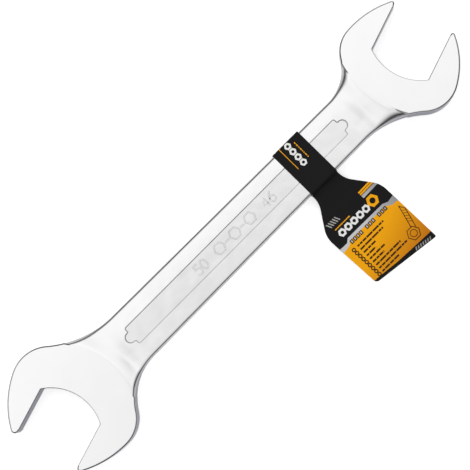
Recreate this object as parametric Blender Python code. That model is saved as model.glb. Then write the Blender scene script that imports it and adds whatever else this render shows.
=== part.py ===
"""Double open end wrench, drop forged and chromed, with a folded paperboard hang tag on its shank.

Metres, +Z up. X runs along the shank toward the small head, and the origin is on the underside of the large
head's ground face. The two heads are laid out in a head frame of their own, whose x runs from the middle
of the wrench out through the head. The large head's frame is the small one's turned half a turn about Z.
In a head frame the jaw axis is turned from x by the jaw angle, "along" is measured on that axis out of the
mouth from the deepest point of its floor, and "aside" is measured across it.
"""

import bpy
import bmesh
from collections import namedtuple
from math import asin, atan2, ceil, cos, pi, radians, sin, sqrt, tan
from mathutils import Vector

# The forged body
HEAD_THICKNESS = 0.0165
# From the origin to the middle of the wrench
HEAD_TO_MIDDLE = 0.1470
SHANK_THICKNESS = 0.0120
HEAD_CHAMFER = 0.0009
SHANK_EDGE_RADIUS = 0.0034
NECK_EDGE_RADIUS = 0.0046
# The ground face of a head stands this far above the forged neck, and its rim this far outside it
GRIND_STEP = 0.0004
RIM_STEP = 0.0002
# How far the neck runs on inside the head that it is one with, as a share of its own turn and in depth
NECK_RUN_SHARE = 1.06
NECK_ROOT = 0.0060
# The share of the neck, from the shank on, that keeps the shank's thickness
FLAT_NECK_SHARE = 0.45

# The large head, at -X
LARGE_OPENING = 0.0501
LARGE_JAW_ANGLE = radians(17.0)
LARGE_FLOOR_X = 0.1637
LARGE_FLOOR_Y = 0.0018
LARGE_FLOOR_RADIUS = 0.0378
LARGE_FLOOR_SHIFT = -0.0009
LARGE_BACK_RADIUS = 0.0686
LARGE_SHANK_HALF = 0.0210
LARGE_LONG_REACH = 0.0500
LARGE_LONG_CROWN_ALONG = 0.0031
LARGE_LONG_CROWN_ASIDE = 0.0214
LARGE_LONG_CROWN_RADIUS = 0.0281
LARGE_LONG_PRONG_RADIUS = 0.0698
LARGE_LONG_TIP_RADIUS = 0.0030
LARGE_LONG_NECK_RADIUS = 0.0754
LARGE_LONG_NECK_TURN = radians(30.6)
LARGE_SHORT_REACH = 0.0505
LARGE_SHORT_CROWN_ALONG = 0.0064
LARGE_SHORT_CROWN_ASIDE = 0.0248
LARGE_SHORT_CROWN_RADIUS = 0.0254
LARGE_SHORT_PRONG_RADIUS = 0.0771
LARGE_SHORT_TIP_RADIUS = 0.0025
LARGE_SHORT_NECK_RADIUS = 0.0432
LARGE_SHORT_NECK_TURN = radians(44.7)

# The small head, at +X
SMALL_OPENING = 0.0465
SMALL_JAW_ANGLE = radians(18.5)
SMALL_FLOOR_X = 0.1643
SMALL_FLOOR_Y = -0.0012
SMALL_FLOOR_RADIUS = 0.0393
SMALL_FLOOR_SHIFT = -0.0016
SMALL_BACK_RADIUS = 0.0789
SMALL_SHANK_HALF = 0.0194
SMALL_LONG_REACH = 0.0488
SMALL_LONG_CROWN_ALONG = 0.0063
SMALL_LONG_CROWN_ASIDE = 0.0196
SMALL_LONG_CROWN_RADIUS = 0.0251
SMALL_LONG_PRONG_RADIUS = 0.0645
SMALL_LONG_TIP_RADIUS = 0.0027
SMALL_LONG_NECK_RADIUS = 0.0672
SMALL_LONG_NECK_TURN = radians(31.5)
SMALL_SHORT_REACH = 0.0500
SMALL_SHORT_CROWN_ALONG = 0.0077
SMALL_SHORT_CROWN_ASIDE = 0.0231
SMALL_SHORT_CROWN_RADIUS = 0.0234
SMALL_SHORT_PRONG_RADIUS = 0.0714
SMALL_SHORT_TIP_RADIUS = 0.0019
SMALL_SHORT_NECK_RADIUS = 0.0350
SMALL_SHORT_NECK_TURN = radians(50.2)

# The lobed panel, sunk into both faces of the shank
PANEL_START = -0.1056
PANEL_END = 0.1094
PANEL_HALF_WIDTH = 0.0077
PANEL_DEPTH = 0.0006
PANEL_CORNER_RADIUS = 0.0014
LOBE_REACH = 0.0052
LOBE_HALF_WIDTH = 0.0039
LOBE_TIP_RADIUS = 0.0038
LOBE_ROOT_RADIUS = 0.0010

# The paperboard hang tag
CARD_THICKNESS = 0.0004
RUNNING_GAP = 0.0003
TAG_X = 0.0716
SLEEVE_LENGTH = 0.0256
# How far the sleeve slides toward the large head before the widening shank binds it, and the gap left then
SLIDE_TO_LARGE = 0.0680
BINDING_GAP = 0.00002
FLAG_HALF_WIDTH = 0.0280
FLAG_FOOT_HALF_WIDTH = 0.0274
FLAG_LENGTH = 0.0839
FLAG_SLANT = radians(7.3)
FLAG_LEAN = radians(2.3)
FLAG_NECK_LENGTH = 0.0062
FLAG_SHOULDER = 0.0278
FLAG_NECK_RADIUS = 0.0170
FLAG_SHOULDER_RADIUS = 0.0190
FLAG_NEAR_CORNER_RADIUS = 0.0035
FLAG_FAR_CORNER_RADIUS = 0.0012

# Fineness of round edges
ARC_PITCH = 0.0026
ARC_TURN = radians(14.0)
FLAT_TURN = radians(0.05)
PANEL_PARTS = 12
EDGE_STEPS = 4
NECK_STATIONS = 9
ACROSS_STEPS = 6
# How far a cutter runs past what it cuts
OVERRUN = 0.0020
WELD = 0.000001
SHADING_ANGLE = radians(32.0)

Prong = namedtuple("Prong", "side reach crown_along crown_aside crown_radius prong_radius tip_radius "
                            "neck_radius neck_turn")
Head = namedtuple("Head", "opening jaw_angle floor_x floor_y floor_radius floor_shift back_radius "
                          "shank_half long short")

LARGE_HEAD = Head(
    LARGE_OPENING, LARGE_JAW_ANGLE, LARGE_FLOOR_X, LARGE_FLOOR_Y, LARGE_FLOOR_RADIUS, LARGE_FLOOR_SHIFT,
    LARGE_BACK_RADIUS, LARGE_SHANK_HALF,
    Prong(-1, LARGE_LONG_REACH, LARGE_LONG_CROWN_ALONG, LARGE_LONG_CROWN_ASIDE, LARGE_LONG_CROWN_RADIUS,
          LARGE_LONG_PRONG_RADIUS, LARGE_LONG_TIP_RADIUS, LARGE_LONG_NECK_RADIUS, LARGE_LONG_NECK_TURN),
    Prong(1, LARGE_SHORT_REACH, LARGE_SHORT_CROWN_ALONG, LARGE_SHORT_CROWN_ASIDE, LARGE_SHORT_CROWN_RADIUS,
          LARGE_SHORT_PRONG_RADIUS, LARGE_SHORT_TIP_RADIUS, LARGE_SHORT_NECK_RADIUS, LARGE_SHORT_NECK_TURN))
SMALL_HEAD = Head(
    SMALL_OPENING, SMALL_JAW_ANGLE, SMALL_FLOOR_X, SMALL_FLOOR_Y, SMALL_FLOOR_RADIUS, SMALL_FLOOR_SHIFT,
    SMALL_BACK_RADIUS, SMALL_SHANK_HALF,
    Prong(-1, SMALL_LONG_REACH, SMALL_LONG_CROWN_ALONG, SMALL_LONG_CROWN_ASIDE, SMALL_LONG_CROWN_RADIUS,
          SMALL_LONG_PRONG_RADIUS, SMALL_LONG_TIP_RADIUS, SMALL_LONG_NECK_RADIUS, SMALL_LONG_NECK_TURN),
    Prong(1, SMALL_SHORT_REACH, SMALL_SHORT_CROWN_ALONG, SMALL_SHORT_CROWN_ASIDE, SMALL_SHORT_CROWN_RADIUS,
          SMALL_SHORT_PRONG_RADIUS, SMALL_SHORT_TIP_RADIUS, SMALL_SHORT_NECK_RADIUS, SMALL_SHORT_NECK_TURN))


def clear_scene():
    for item in list(bpy.data.objects):
        bpy.data.objects.remove(item, do_unlink=True)


def new_collection(name):
    collection = bpy.data.collections.new(name)
    bpy.context.scene.collection.children.link(collection)
    return collection


def metal(name, color, roughness):
    return surface(name, color, roughness, 1.0)


def card(name, color, roughness):
    return surface(name, color, roughness, 0.0)


def surface(name, color, roughness, metallic):
    material = bpy.data.materials.new(name)
    material.use_nodes = True
    shader = material.node_tree.nodes["Principled BSDF"]
    shader.inputs["Base Color"].default_value = (*color, 1.0)
    shader.inputs["Roughness"].default_value = roughness
    shader.inputs["Metallic"].default_value = metallic
    return material


# Plane geometry

def polar(centre, radius, angle):
    return centre + radius * Vector((cos(angle), sin(angle)))


def bearing(centre, point):
    return atan2(point.y - centre.y, point.x - centre.x)


def arc(centre, start, end):
    """Points of the round stretch about centre from start to end, the short way, both ends included."""
    radius = (start - centre).length
    first = bearing(centre, start)
    turn = (bearing(centre, end) - first + pi) % (2 * pi) - pi
    steps = max(ceil(abs(turn) * radius / ARC_PITCH), ceil(abs(turn) / ARC_TURN), 1)
    return [polar(centre, radius, first + turn * i / steps) for i in range(steps + 1)]


def on_line(centre, other, distance):
    """The point at a distance from centre, on the line toward other."""
    return centre + distance * (other - centre).normalized()


def crossings(first, first_radius, second, second_radius):
    """The two points where two circles cross."""
    span = second - first
    gap = span.length
    along = (gap ** 2 + first_radius ** 2 - second_radius ** 2) / (2 * gap)
    aside = sqrt(first_radius ** 2 - along ** 2)
    foot = on_line(first, second, along)
    normal = Vector((-span.y, span.x)) / gap
    return foot + aside * normal, foot - aside * normal


def rounded(corners):
    """A closed outline from (point, radius) corners, each rounded by an arc of its radius."""
    outline = []
    for i, (corner, radius) in enumerate(corners):
        before = (corners[i - 1][0] - corner).normalized()
        after = (corners[(i + 1) % len(corners)][0] - corner).normalized()
        if radius == 0:
            outline.append(corner)
            continue
        half_angle = before.angle(after) / 2
        centre = corner + (before + after).normalized() * (radius / sin(half_angle))
        reach = radius * cos(half_angle) / sin(half_angle)
        outline += arc(centre, corner + reach * before, corner + reach * after)
    return outline


# Head outlines

def from_jaw(head, along, aside):
    """A point of the head frame, from its places along and aside of the jaw axis."""
    turn = head.jaw_angle
    return Vector((head.floor_x + along * cos(turn) - aside * sin(turn),
                   head.floor_y + along * sin(turn) + aside * cos(turn)))


def neck_centre(head, prong):
    """Centre of the hollow arc that touches the crown and the straight edge of the shank."""
    crown = from_jaw(head, prong.crown_along, prong.side * prong.crown_aside)
    y = prong.side * (head.shank_half + prong.neck_radius)
    back = sqrt((prong.crown_radius + prong.neck_radius) ** 2 - (y - crown.y) ** 2)
    return Vector((crown.x - back, y))


def neck_point(head, prong, share, inset):
    """A point of the neck's edge, from the shank at share 0 to the ground face at 1, moved in by inset."""
    angle = prong.side * (prong.neck_turn * share - pi / 2)
    return polar(neck_centre(head, prong), prong.neck_radius + inset, angle)


def neck_end(head, prong):
    return neck_point(head, prong, 1.0, 0.0)


def back_centre(head):
    """Centre of the arc that ends the ground face toward the shank."""
    ends = crossings(neck_end(head, head.long), head.back_radius,
                     neck_end(head, head.short), head.back_radius)
    return max(ends, key=lambda point: point.x)


def prong_edge(head, prong):
    """The head's edge from the back of the ground face, over the crown and the prong, to the jaw flat."""
    half = head.opening / 2
    crown = Vector((prong.crown_along, prong.side * prong.crown_aside))
    tip = Vector((prong.reach, prong.side * half))
    bows = crossings(tip, prong.prong_radius, crown, prong.prong_radius - prong.crown_radius)
    bow = min(bows, key=lambda point: prong.side * point.y)
    nose_aside = prong.side * (half + prong.tip_radius)
    nose_along = bow.x + sqrt((prong.prong_radius - prong.tip_radius) ** 2 - (nose_aside - bow.y) ** 2)
    nose = from_jaw(head, nose_along, nose_aside)
    nose_end = from_jaw(head, nose_along, prong.side * half)
    bow = from_jaw(head, bow.x, bow.y)
    crown = from_jaw(head, crown.x, crown.y)
    neck = neck_centre(head, prong)
    crown_start = on_line(crown, neck, prong.crown_radius)
    crown_end = on_line(bow, crown, prong.prong_radius)
    nose_start = on_line(bow, nose, prong.prong_radius)
    edge = arc(neck, neck_end(head, prong), crown_start)[:-1]
    edge += arc(crown, crown_start, crown_end)[:-1]
    edge += arc(bow, crown_end, nose_start)[:-1]
    edge += arc(nose, nose_start, nose_end)
    return edge


def mouth_floor(head):
    """The curved floor of the mouth, from the short prong's flat to the long prong's."""
    half = head.opening / 2
    corners = []
    for side in (1, -1):
        rise = side * half - head.floor_shift
        depth = head.floor_radius - sqrt(head.floor_radius ** 2 - rise ** 2)
        corners.append(from_jaw(head, depth, side * half))
    centre = from_jaw(head, head.floor_radius, head.floor_shift)
    return arc(centre, *corners)


def head_outline(head):
    """The whole edge of a head's ground face, in the head frame."""
    short_edge = prong_edge(head, head.short)
    long_edge = prong_edge(head, head.long)
    back = arc(back_centre(head), long_edge[0], short_edge[0])
    return short_edge + mouth_floor(head) + long_edge[::-1] + back[1:-1]


# Solids

def add_object(name, mesh, collection):
    item = bpy.data.objects.new(name, mesh)
    collection.objects.link(item)
    return item


def make_guide(item):
    item.hide_render = True
    item.display_type = "WIRE"


def plate(name, outlines, thickness, chamfer, collection, cuts=()):
    """A flat plate about z = 0 from closed outlines, the second and later ones being holes.

    Its faces are parted at the x places in cuts, which keeps long faces from being cut into slivers later.
    """
    curve = bpy.data.curves.new(name, "CURVE")
    curve.dimensions = "2D"
    curve.fill_mode = "BOTH"
    curve.extrude = thickness / 2 - chamfer
    curve.bevel_depth = chamfer
    curve.bevel_resolution = 1
    curve.offset = -chamfer
    for outline in outlines:
        spline = curve.splines.new("POLY")
        spline.points.add(len(outline) - 1)
        for point, place in zip(spline.points, outline):
            point.co = (place.x, place.y, 0.0, 1.0)
        spline.use_cyclic_u = True
    guide = add_object(name, curve, collection)
    bpy.context.view_layer.update()
    mesh = bpy.data.meshes.new_from_object(guide.evaluated_get(bpy.context.evaluated_depsgraph_get()))
    bpy.data.objects.remove(guide, do_unlink=True)
    welded = bmesh.new()
    welded.from_mesh(mesh)
    bmesh.ops.remove_doubles(welded, verts=welded.verts, dist=WELD)
    bmesh.ops.dissolve_limit(welded, angle_limit=FLAT_TURN, verts=welded.verts, edges=welded.edges)
    for x in cuts:
        everything = welded.verts[:] + welded.edges[:] + welded.faces[:]
        bmesh.ops.bisect_plane(welded, geom=everything, plane_co=(x, 0.0, 0.0), plane_no=(1.0, 0.0, 0.0))
    bmesh.ops.recalc_face_normals(welded, faces=welded.faces)
    welded.to_mesh(mesh)
    welded.free()
    return add_object(name, mesh, collection)


def combine(base, tool, operation):
    modifier = base.modifiers.new(operation.lower(), "BOOLEAN")
    modifier.operation = operation
    modifier.solver = "EXACT"
    modifier.object = tool


def smooth(item):
    item.data.shade_smooth()
    item.data.set_sharp_from_angle(angle=SHADING_ANGLE)


def section(start, end, bow, half_height, edge_radius):
    """A closed cross-section of the forged bar that stands on the line from start to end.

    The line bulges by bow, toward the middle of the wrench. Both edges are rounded.
    """
    across = end - start
    width = across.length
    inward = Vector((-across.y, across.x)) / width

    def place(inset, height):
        share = inset / width
        point = start + across * share + inward * (4 * bow * share * (1 - share))
        return Vector((point.x, point.y, height))

    top = []
    for i in range(EDGE_STEPS + 1):
        turn = pi / 2 * i / EDGE_STEPS
        top.append(place(edge_radius * (1 - cos(turn)), half_height - edge_radius * (1 - sin(turn))))
    flat = width - 2 * edge_radius
    for i in range(1, ACROSS_STEPS):
        top.append(place(edge_radius + flat * i / ACROSS_STEPS, half_height))
    for i in range(EDGE_STEPS + 1):
        turn = pi / 2 * (1 - i / EDGE_STEPS)
        top.append(place(width - edge_radius * (1 - cos(turn)), half_height - edge_radius * (1 - sin(turn))))
    bottom = [Vector((point.x, point.y, -point.z)) for point in reversed(top)]
    return top + bottom


def neck_sections(head):
    """Cross-sections from the shank to inside the head, in the head frame."""
    long_end = neck_end(head, head.long)
    short_end = neck_end(head, head.short)
    chord = (short_end - long_end).length
    sagitta = head.back_radius - sqrt(head.back_radius ** 2 - (chord / 2) ** 2)
    shank_half = SHANK_THICKNESS / 2
    rise = HEAD_THICKNESS / 2 - GRIND_STEP - shank_half
    sections = []
    for i in range(NECK_STATIONS):
        share = NECK_RUN_SHARE * i / (NECK_STATIONS - 1)
        start = neck_point(head, head.long, share, RIM_STEP)
        end = neck_point(head, head.short, share, RIM_STEP)
        climb = min(max(0.0, (share - FLAT_NECK_SHARE) / (1 - FLAT_NECK_SHARE)), 1.0) ** 2
        radius = SHANK_EDGE_RADIUS + (NECK_EDGE_RADIUS - SHANK_EDGE_RADIUS) * share
        sections.append(section(start, end, sagitta * share ** 2, shank_half + rise * climb, radius))
    root_start = long_end + Vector((NECK_ROOT, NECK_ROOT))
    root_end = short_end + Vector((NECK_ROOT, -NECK_ROOT))
    sections.append(section(root_start, root_end, 0.0, shank_half + rise, NECK_EDGE_RADIUS))
    return sections


def turned(sections):
    """Sections of the large head's frame brought to the wrench's frame, with the same way round."""
    half = len(sections[0]) // 2
    result = []
    for loop in sections:
        loop = [Vector((-point.x, -point.y, point.z)) for point in loop]
        result.append(loop[:half][::-1] + loop[half:][::-1])
    return result


def loft(name, sections, collection):
    """A closed solid through cross-sections that have as many points each."""
    solid = bmesh.new()
    rings = [[solid.verts.new(point) for point in loop] for loop in sections]
    count = len(rings[0])
    for ring, following in zip(rings, rings[1:]):
        for i in range(count):
            j = (i + 1) % count
            solid.faces.new((ring[i], ring[j], following[j], following[i]))
    solid.faces.new(rings[0][::-1])
    solid.faces.new(rings[-1])
    bmesh.ops.recalc_face_normals(solid, faces=solid.faces)
    mesh = bpy.data.meshes.new(name)
    solid.to_mesh(mesh)
    solid.free()
    return add_object(name, mesh, collection)


def panel_outline():
    """The sunk panel: a long rectangle with a round lobe at the middle of each end."""
    corners = []
    for x, way in ((PANEL_START, -1), (PANEL_END, 1)):
        lobe_x = x + way * LOBE_REACH
        end = [(Vector((x, -PANEL_HALF_WIDTH)), PANEL_CORNER_RADIUS),
               (Vector((x, -LOBE_HALF_WIDTH)), LOBE_ROOT_RADIUS),
               (Vector((lobe_x, -LOBE_HALF_WIDTH)), LOBE_TIP_RADIUS),
               (Vector((lobe_x, LOBE_HALF_WIDTH)), LOBE_TIP_RADIUS),
               (Vector((x, LOBE_HALF_WIDTH)), LOBE_ROOT_RADIUS),
               (Vector((x, PANEL_HALF_WIDTH)), PANEL_CORNER_RADIUS)]
        corners += end[::way]
    return rounded(corners)


def panel_cuts():
    length = PANEL_END - PANEL_START
    return [PANEL_START + length * i / PANEL_PARTS for i in range(1, PANEL_PARTS)]


def build_wrench(parts, cutters, root):
    sections = turned(neck_sections(LARGE_HEAD))[::-1] + neck_sections(SMALL_HEAD)
    wrench = loft("wrench", sections, parts)
    for name, head, turn in (("large_head", LARGE_HEAD, pi), ("small_head", SMALL_HEAD, 0.0)):
        blank = plate(name, [head_outline(head)], HEAD_THICKNESS, HEAD_CHAMFER, cutters)
        blank.rotation_euler.z = turn
        blank.parent = root
        make_guide(blank)
        combine(wrench, blank, "UNION")
    for name, way in (("upper_panel", 1), ("lower_panel", -1)):
        sink = plate(name, [panel_outline()], PANEL_DEPTH + OVERRUN, 0.0, cutters, panel_cuts())
        sink.location.z = way * (SHANK_THICKNESS + OVERRUN - PANEL_DEPTH) / 2
        sink.parent = root
        make_guide(sink)
        combine(wrench, sink, "DIFFERENCE")
    wrench.parent = root
    wrench.data.materials.append(metal("chromed_steel", (0.78, 0.79, 0.80), 0.18))
    smooth(wrench)


# Hang tag

def shank_half_at(x):
    """Half the width of the shank, which narrows evenly from the large neck to the small one."""
    start = -neck_centre(LARGE_HEAD, LARGE_HEAD.long).x
    end = neck_centre(SMALL_HEAD, SMALL_HEAD.long).x
    share = (x - start) / (end - start)
    return LARGE_SHANK_HALF + (SMALL_SHANK_HALF - LARGE_SHANK_HALF) * share - RIM_STEP


def ring_corner(half_width, half_height, radius):
    signs = ((1, 1), (-1, 1), (-1, -1), (1, -1))
    return rounded([(Vector((a * half_width, b * half_height)), radius) for a, b in signs])


def sleeve_half_width():
    """Half the sleeve's inner width, which clears the shank as far as the sleeve can slide."""
    return shank_half_at(TAG_X - SLEEVE_LENGTH / 2 - SLIDE_TO_LARGE) + BINDING_GAP


def build_sleeve(parts, root, board):
    """The closed loop of card: a ring in the Y-Z plane, as long as the band is wide."""
    half_width = sleeve_half_width()
    half_height = SHANK_THICKNESS / 2 + RUNNING_GAP
    radius = SHANK_EDGE_RADIUS + RUNNING_GAP
    outer = ring_corner(half_width + CARD_THICKNESS, half_height + CARD_THICKNESS, radius + CARD_THICKNESS)
    inner = ring_corner(half_width, half_height, radius)
    sleeve = plate("tag_sleeve", [outer, inner], SLEEVE_LENGTH, 0.0, parts)
    sleeve.rotation_euler = (pi / 2, 0.0, pi / 2)
    sleeve.location.x = TAG_X
    sleeve.parent = root
    sleeve.data.materials.append(board)
    smooth(sleeve)


def leaf_outline():
    """One leaf of the flag, from the crease at y = 0 down to its slanted lower edge."""
    neck = SLEEVE_LENGTH / 2
    near = FLAG_LENGTH - 2 * FLAG_FOOT_HALF_WIDTH * tan(FLAG_SLANT)
    corners = [(Vector((-neck, 0.0)), 0.0),
               (Vector((-neck, -FLAG_NECK_LENGTH)), FLAG_NECK_RADIUS),
               (Vector((-FLAG_HALF_WIDTH, -FLAG_SHOULDER)), FLAG_SHOULDER_RADIUS),
               (Vector((-FLAG_FOOT_HALF_WIDTH, -near)), FLAG_NEAR_CORNER_RADIUS),
               (Vector((FLAG_FOOT_HALF_WIDTH, -FLAG_LENGTH)), FLAG_FAR_CORNER_RADIUS),
               (Vector((FLAG_HALF_WIDTH, -FLAG_SHOULDER)), FLAG_SHOULDER_RADIUS),
               (Vector((neck, -FLAG_NECK_LENGTH)), FLAG_NECK_RADIUS),
               (Vector((neck, 0.0)), 0.0)]
    return rounded([(Vector((place.x - place.y * tan(FLAG_LEAN), place.y)), radius)
                    for place, radius in corners])


def build_flag(parts, root, board):
    """Two leaves glued back to back, which slope from the crease to the surface under the wrench."""
    flag_half = CARD_THICKNESS + RUNNING_GAP / 2
    crease = bpy.data.objects.new("tag_crease", None)
    parts.objects.link(crease)
    crease.parent = root
    crease.location = (TAG_X, -(sleeve_half_width() + CARD_THICKNESS + RUNNING_GAP + flag_half), 0.0)
    crease.rotation_euler.x = asin((HEAD_THICKNESS / 2 - flag_half) / FLAG_LENGTH)
    for name, way in (("tag_front_leaf", 1), ("tag_back_leaf", -1)):
        leaf = plate(name, [leaf_outline()], CARD_THICKNESS, 0.0, parts)
        leaf.location.z = way * (CARD_THICKNESS + RUNNING_GAP) / 2
        leaf.parent = crease
        leaf.data.materials.append(board)
        smooth(leaf)


clear_scene()
parts = new_collection("open_end_wrench")
cutters = new_collection("wrench_cutters")
root = bpy.data.objects.new("wrench_frame", None)
parts.objects.link(root)
root.location = (HEAD_TO_MIDDLE, 0.0, HEAD_THICKNESS / 2)
build_wrench(parts, cutters, root)
build_sleeve(parts, root, card("black_printed_board", (0.02, 0.02, 0.022), 0.45))
build_flag(parts, root, card("orange_printed_board", (0.78, 0.33, 0.02), 0.45))
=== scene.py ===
"""Double open end wrench with its card hang tag, dressed for the photograph's view.

Metres, +Z up. X runs along the shank toward the small head, and the wrench lies on the surface at Z = 0.
"""

import random
from bisect import bisect_right
from collections import namedtuple
from math import asin, atan2, ceil, cos, exp, pi, radians, sin, sqrt, tan

import bmesh
import bpy
from mathutils import Matrix, Vector


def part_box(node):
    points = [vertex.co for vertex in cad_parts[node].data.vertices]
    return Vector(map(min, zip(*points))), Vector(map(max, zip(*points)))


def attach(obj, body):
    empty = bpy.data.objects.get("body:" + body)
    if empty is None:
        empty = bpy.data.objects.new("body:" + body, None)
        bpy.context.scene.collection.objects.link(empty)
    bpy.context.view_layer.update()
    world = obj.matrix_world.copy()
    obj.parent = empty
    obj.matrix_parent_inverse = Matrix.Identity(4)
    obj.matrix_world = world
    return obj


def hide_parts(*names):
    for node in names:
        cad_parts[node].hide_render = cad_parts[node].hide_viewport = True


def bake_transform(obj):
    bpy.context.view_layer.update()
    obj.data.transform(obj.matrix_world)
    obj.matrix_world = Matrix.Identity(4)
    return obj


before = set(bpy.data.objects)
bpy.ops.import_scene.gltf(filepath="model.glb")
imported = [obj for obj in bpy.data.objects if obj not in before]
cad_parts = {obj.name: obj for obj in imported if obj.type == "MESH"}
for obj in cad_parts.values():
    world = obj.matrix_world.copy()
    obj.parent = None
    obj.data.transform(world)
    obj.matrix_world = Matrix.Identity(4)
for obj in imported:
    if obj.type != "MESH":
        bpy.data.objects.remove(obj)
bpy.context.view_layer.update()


# Wrench body
# One bar of chrome vanadium steel, drop forged to shape. Both faces of each head are then ground flat, the
# jaws are broached, and the whole bar is tumbled and plated with nickel and satin chrome.

HEAD_TO_MIDDLE = 0.1470
HEAD_THICKNESS = 0.0165
SHANK_THICKNESS = 0.0120
# The bevel round a head, as (depth under the ground face, inset from the head's side)
HEAD_BEVEL = ((0.00120, 0.0), (0.00070, 0.00006), (0.00040, 0.00020), (0.00008, 0.00090),
              (0.00003, 0.00108), (0.0, 0.00130))
MOUTH_CHAMFER_DEPTH = 0.00025
MOUTH_CHAMFER_WIDTH = 0.00054
# The broach runs out so far past the tips of the prongs
BROACH_OVERRUN = 0.0100
# The shank's faces curve down toward its sides over this run, up to this tilt, and end in a tight corner
SHANK_RUN = 0.0021
SIDE_TILT = radians(26.0)
CORNER_RADIUS = 0.0007
# The faces of the shank are a little round, so much lower at their edges than along their middle
CROWN = 0.0005
# The neck stays this far under the ground face, and this far inside the head's side
GRIND_STEP = 0.00005
RIM_STEP = 0.0002
# It rises between these two shares of its bend, then goes on inside the head to the third and by this root
RAMP_START = 0.22
RAMP_END = 0.98
NECK_RUN_SHARE = 1.06
NECK_ROOT = 0.0060

# The sunk panel on both faces of the shank, with a lobe at the middle of each end
PANEL_START = -0.1056
PANEL_END = 0.1094
PANEL_HALF_WIDTH = 0.0077
PANEL_DEPTH = 0.0006
PANEL_CORNER_RADIUS = 0.0014
LOBE_REACH = 0.0052
LOBE_HALF_WIDTH = 0.0039
LOBE_TIP_RADIUS = 0.0038
LOBE_ROOT_RADIUS = 0.0010
# Heights of the faces over the bar's middle plane
GROUND_FACE = HEAD_THICKNESS / 2
SHANK_FACE = SHANK_THICKNESS / 2
PANEL_FLOOR = SHANK_FACE - PANEL_DEPTH
# The wall of the die that presses it, as (height over the panel's floor, how far the outline is grown)
DIE_WALL = ((0.0, -0.00036), (0.00007, -0.00020), (0.00017, -0.00008), (0.00034, 0.00004),
            (0.00044, 0.00014), (0.00053, 0.00034), (0.00073, 0.00080))
# The soft hollow behind each ground face: how deep, and how far it spreads along and across the bar
HOLLOW_DEPTH = 0.00032
HOLLOW_TO_HEAD = 0.0027
HOLLOW_TO_SHANK = 0.0100
HOLLOW_ACROSS = 0.0062

# Fineness of the mesh: the longest stretch of an arc and its largest turn, then the steps along a neck,
# across the bar's face, in over its curved edge and round its corner
PITCH = 0.0009
LARGEST_TURN = radians(15.0)
NECK_STATIONS = 48
ACROSS_STEPS = 24
EDGE_STEPS = 10
CORNER_STEPS = 5

# Each head is laid out in a frame of its own, whose x runs from the wrench's middle out through the head.
# The large head's frame is turned half a turn about Z. Places along and aside start at the mouth's floor on
# the jaw's axis. The neck's faces curve down toward each side over a run of its own.
Prong = namedtuple("Prong", "side reach crown_along crown_aside crown_radius prong_radius tip_radius "
                            "neck_radius neck_turn neck_run")
Head = namedtuple("Head", "opening jaw_angle floor_x floor_y floor_radius floor_shift back_radius "
                          "shank_half hollow_x hollow_y long short")
LARGE_HEAD = Head(
    opening=0.0501, jaw_angle=radians(17.0), floor_x=0.1637, floor_y=0.0018, floor_radius=0.0378,
    floor_shift=-0.0009, back_radius=0.0686, shank_half=0.0210, hollow_x=0.1190, hollow_y=0.0112,
    long=Prong(side=-1, reach=0.0500, crown_along=0.0031, crown_aside=0.0214, crown_radius=0.0281,
               prong_radius=0.0698, tip_radius=0.0030, neck_radius=0.0754, neck_turn=radians(30.6),
               neck_run=0.0056),
    short=Prong(side=1, reach=0.0505, crown_along=0.0064, crown_aside=0.0248, crown_radius=0.0254,
                prong_radius=0.0771, tip_radius=0.0025, neck_radius=0.0432, neck_turn=radians(44.7),
                neck_run=0.0044))
SMALL_HEAD = Head(
    opening=0.0465, jaw_angle=radians(18.5), floor_x=0.1643, floor_y=-0.0012, floor_radius=0.0393,
    floor_shift=-0.0016, back_radius=0.0789, shank_half=0.0194, hollow_x=0.1285, hollow_y=-0.0080,
    long=Prong(side=-1, reach=0.0476, crown_along=0.0063, crown_aside=0.0196, crown_radius=0.0251,
               prong_radius=0.0645, tip_radius=0.0016, neck_radius=0.0672, neck_turn=radians(31.5),
               neck_run=0.0135),
    short=Prong(side=1, reach=0.0500, crown_along=0.0077, crown_aside=0.0231, crown_radius=0.0234,
                prong_radius=0.0714, tip_radius=0.0019, neck_radius=0.0350, neck_turn=radians(50.2),
                neck_run=0.0105))

# The tones of the chrome, each a pair between which the plate drifts in clouds
CHROME_TONES = {
    "ground face": ("#CDCDCD", "#D3D3D3"),
    "forged face": ("#CACACA", "#D2D2D2"),
    "panel floor": ("#C3C3C3", "#CBCBCB"),
    # The sides are painted: the shank's sides lighter, to offset the shade of the floor they mirror, and
    # the heads' sides greyer, partly a duller finish and partly painted shade
    "shank side painted light": ("#D6D5D9", "#DFDEE1"),
    "head side duller with painted shade": ("#B8B7BE", "#C4C3C9"),
}
# Where one tone gives way to the next: by how upright the normal is, by depth under the ground face, in
# from the panel's edge, by depth under the shank's face, and by distance from the middle of the wrench
SIDE_TO_FACE = (0.55, 0.96)
FORGED_TO_GROUND = (0.0003, 0.0001)
PANEL_EDGE = 0.0003
FACE_TO_FLOOR = (0.0002, 0.0005)
SHANK_TO_HEAD = (0.098, 0.118)
# The kinds of node that come most often
MATH = "ShaderNodeMath"
MIX = "ShaderNodeMix"
NOISE = "ShaderNodeTexNoise"
REMAP = "ShaderNodeMapRange"
BUMP = "ShaderNodeBump"


def linear(code):
    """An sRGB hex value as a linear colour with full alpha."""
    channels = [int(code[i:i + 2], 16) / 255 for i in (1, 3, 5)]
    return tuple(c / 12.92 if c <= 0.04045 else ((c + 0.055) / 1.055) ** 2.4 for c in channels) + (1.0,)


def new_material(name):
    """A new material, with its node tree and its shader."""
    material = bpy.data.materials.new(name)
    material.use_nodes = True
    return material, material.node_tree, material.node_tree.nodes["Principled BSDF"]


def feed(node, inputs):
    """Gives a node its inputs: values, sockets, or nodes that stand for their first output in use."""
    for key, value in inputs.items():
        if isinstance(value, bpy.types.Node):
            value = next(socket for socket in value.outputs if socket.enabled)
        if isinstance(value, bpy.types.NodeSocket):
            node.id_data.links.new(value, node.inputs[key])
        else:
            node.inputs[key].default_value = value


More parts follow.
